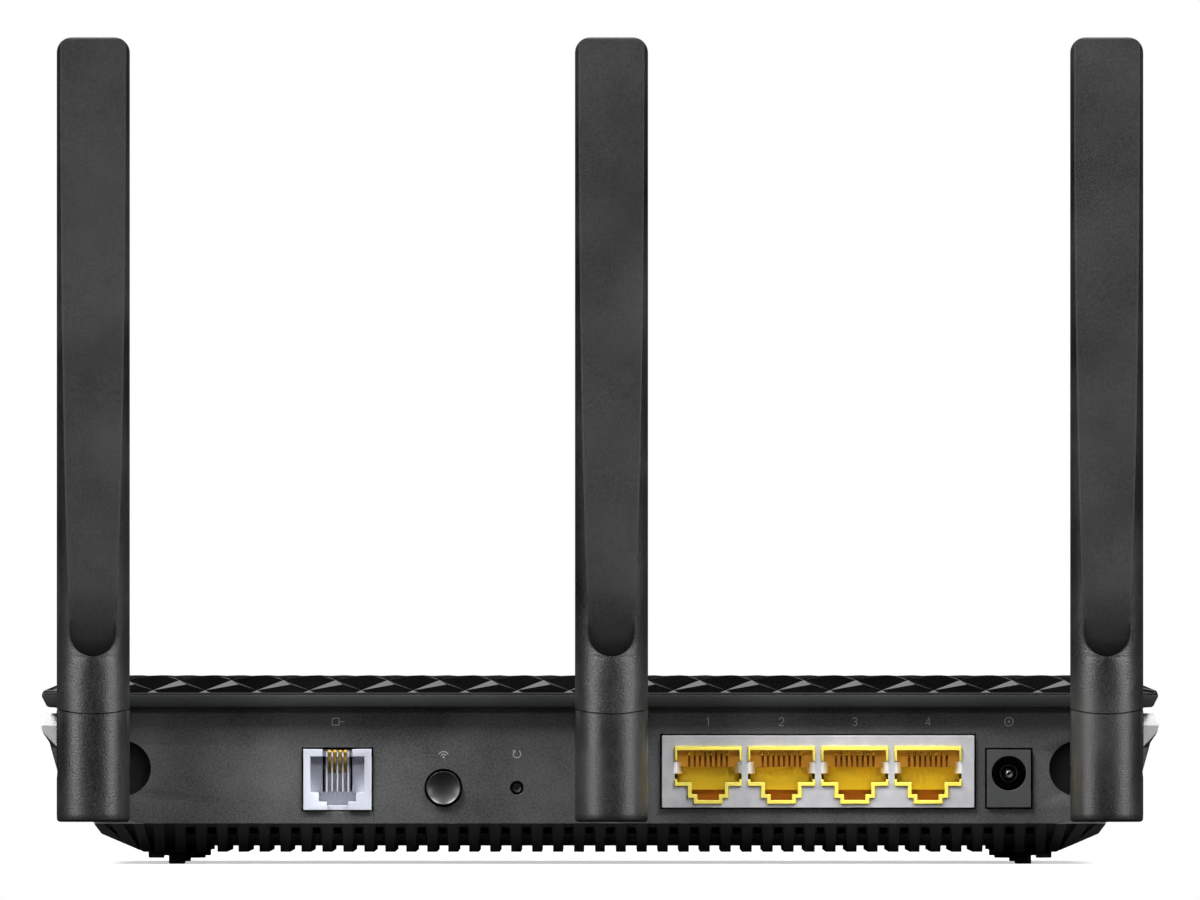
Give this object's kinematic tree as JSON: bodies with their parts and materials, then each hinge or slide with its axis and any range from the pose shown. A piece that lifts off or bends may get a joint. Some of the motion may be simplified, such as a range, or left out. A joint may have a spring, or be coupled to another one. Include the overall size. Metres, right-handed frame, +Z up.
{
  "type": "wireless router",
  "caption": "Flat desktop wireless router with upright folding antennas, a ribbed base, a patterned cover and a row of sockets along the rear.",
  "frame": {"origin": "on the table, under the middle of the whole router's box, antennas upright", "axes": "+X to the right and +Y towards the front when looking at the sockets, +Z up"},
  "size_m": [0.213, 0.1782, 0.1573],
  "materials": {
    "case_plastic": "fine matte grain",
    "panel_plastic": "fine matte grain",
    "cover_plastic": "satin gloss with a faceted pattern",
    "silver_trim": "satin silver paint on plastic",
    "clear_guide": "clear moulded acrylic",
    "rubber": "matt",
    "steel": "bright zinc plate",
    "board_green": "green solder mask on glass fibre",
    "chip_black": "moulded epoxy",
    "pad_grey": "soft silicone",
    "sink_aluminium": "extruded, plain",
    "tinned_sheet": "tinned sheet",
    "transformer_yellow": "wound with polyester tape",
    "capacitor_sleeve": "shrunk plastic sleeve",
    "ferrite": "pressed ferrite",
    "lamp_white": "clear lamp body",
    "gold": "gold plated spring wire",
    "lead_jacket": "extruded jacket",
    "yellow_plastic": "satin yellow moulding",
    "pale_plastic": "pale lavender grey moulding",
    "socket_black": "black moulding",
    "button_plastic": "satin",
    "actuator_white": "natural moulding",
    "neck_plastic": "matte",
    "antenna_plastic": "fine matte grain",
    "copper_board": "copper on glass fibre"
  },
  "bodies": {
    "root": {"bottom_case": "case_plastic", "rear_panel": "panel_plastic", "top_cover": "cover_plastic", "side_trim": "silver_trim", "light_guide": "clear_guide", "rubber_feet": "rubber", "case_screws": "steel", "main_board": "board_green", "board_screws": "steel", "processor": "chip_black", "thermal_pad": "pad_grey", "heat_sink": "sink_aluminium", "memory_chips": "chip_black", "radio_chips": "chip_black", "radio_shields": "tinned_sheet", "network_transformers": "chip_black", "line_transformer": "transformer_yellow", "capacitors": "capacitor_sleeve", "power_inductors": "ferrite", "indicator_lamps": "lamp_white", "lead_sockets": "gold", "antenna_leads": "lead_jacket", "lan_shell": "tinned_sheet", "lan_housing": "yellow_plastic", "lan_contacts": "gold", "line_socket": "pale_plastic", "line_contacts": "gold", "power_socket": "socket_black", "power_pin": "steel", "pairing_switch": "tinned_sheet", "reset_switch": "tinned_sheet"},
    "pairing_button": {"pairing_button": "button_plastic", "pairing_actuator": "actuator_white"},
    "reset_plunger": {"reset_plunger": "button_plastic", "reset_actuator": "actuator_white"},
    "left_neck": {"left_neck": "neck_plastic", "left_clip": "steel"},
    "left_antenna": {"left_pin": "steel", "left_sleeve": "antenna_plastic", "left_blade": "antenna_plastic", "left_radiator": "copper_board"},
    "middle_neck": {"middle_neck": "neck_plastic", "middle_clip": "steel"},
    "middle_antenna": {"middle_pin": "steel", "middle_sleeve": "antenna_plastic", "middle_blade": "antenna_plastic", "middle_radiator": "copper_board"},
    "right_neck": {"right_neck": "neck_plastic", "right_clip": "steel"},
    "right_antenna": {"right_pin": "steel", "right_sleeve": "antenna_plastic", "right_blade": "antenna_plastic", "right_radiator": "copper_board"}
  },
  "joints": [
    {"name": "pairing_press", "type": "slide", "parent": "root", "child": "pairing_button", "axis": [0, 1, 0], "range_m": [0, 0.0006], "stiffness_N_per_m": 400},
    {"name": "reset_press", "type": "slide", "parent": "root", "child": "reset_plunger", "axis": [0, 1, 0], "range_m": [0, 0.0006], "stiffness_N_per_m": 400},
    {"name": "left_swivel", "type": "hinge", "parent": "root", "child": "left_neck", "pos_m": [-0.0964, -0.08213, 0.0177], "axis": [0, 1, 0], "range_deg": [-90, 35]},
    {"name": "left_fold", "type": "hinge", "parent": "left_neck", "child": "left_antenna", "pos_m": [-0.0964, -0.08213, 0.0177], "axis": [1, 0, 0], "range_deg": [0, 90]},
    {"name": "middle_swivel", "type": "hinge", "parent": "root", "child": "middle_neck", "pos_m": [0.00219, -0.08213, 0.0177], "axis": [0, 1, 0], "range_deg": [-35, 35]},
    {"name": "middle_fold", "type": "hinge", "parent": "middle_neck", "child": "middle_antenna", "pos_m": [0.00219, -0.08213, 0.0177], "axis": [1, 0, 0], "range_deg": [0, 90]},
    {"name": "right_swivel", "type": "hinge", "parent": "root", "child": "right_neck", "pos_m": [0.0964, -0.08213, 0.0177], "axis": [0, 1, 0], "range_deg": [-35, 90]},
    {"name": "right_fold", "type": "hinge", "parent": "right_neck", "child": "right_antenna", "pos_m": [0.0964, -0.08213, 0.0177], "axis": [1, 0, 0], "range_deg": [0, 90]}
  ]
}
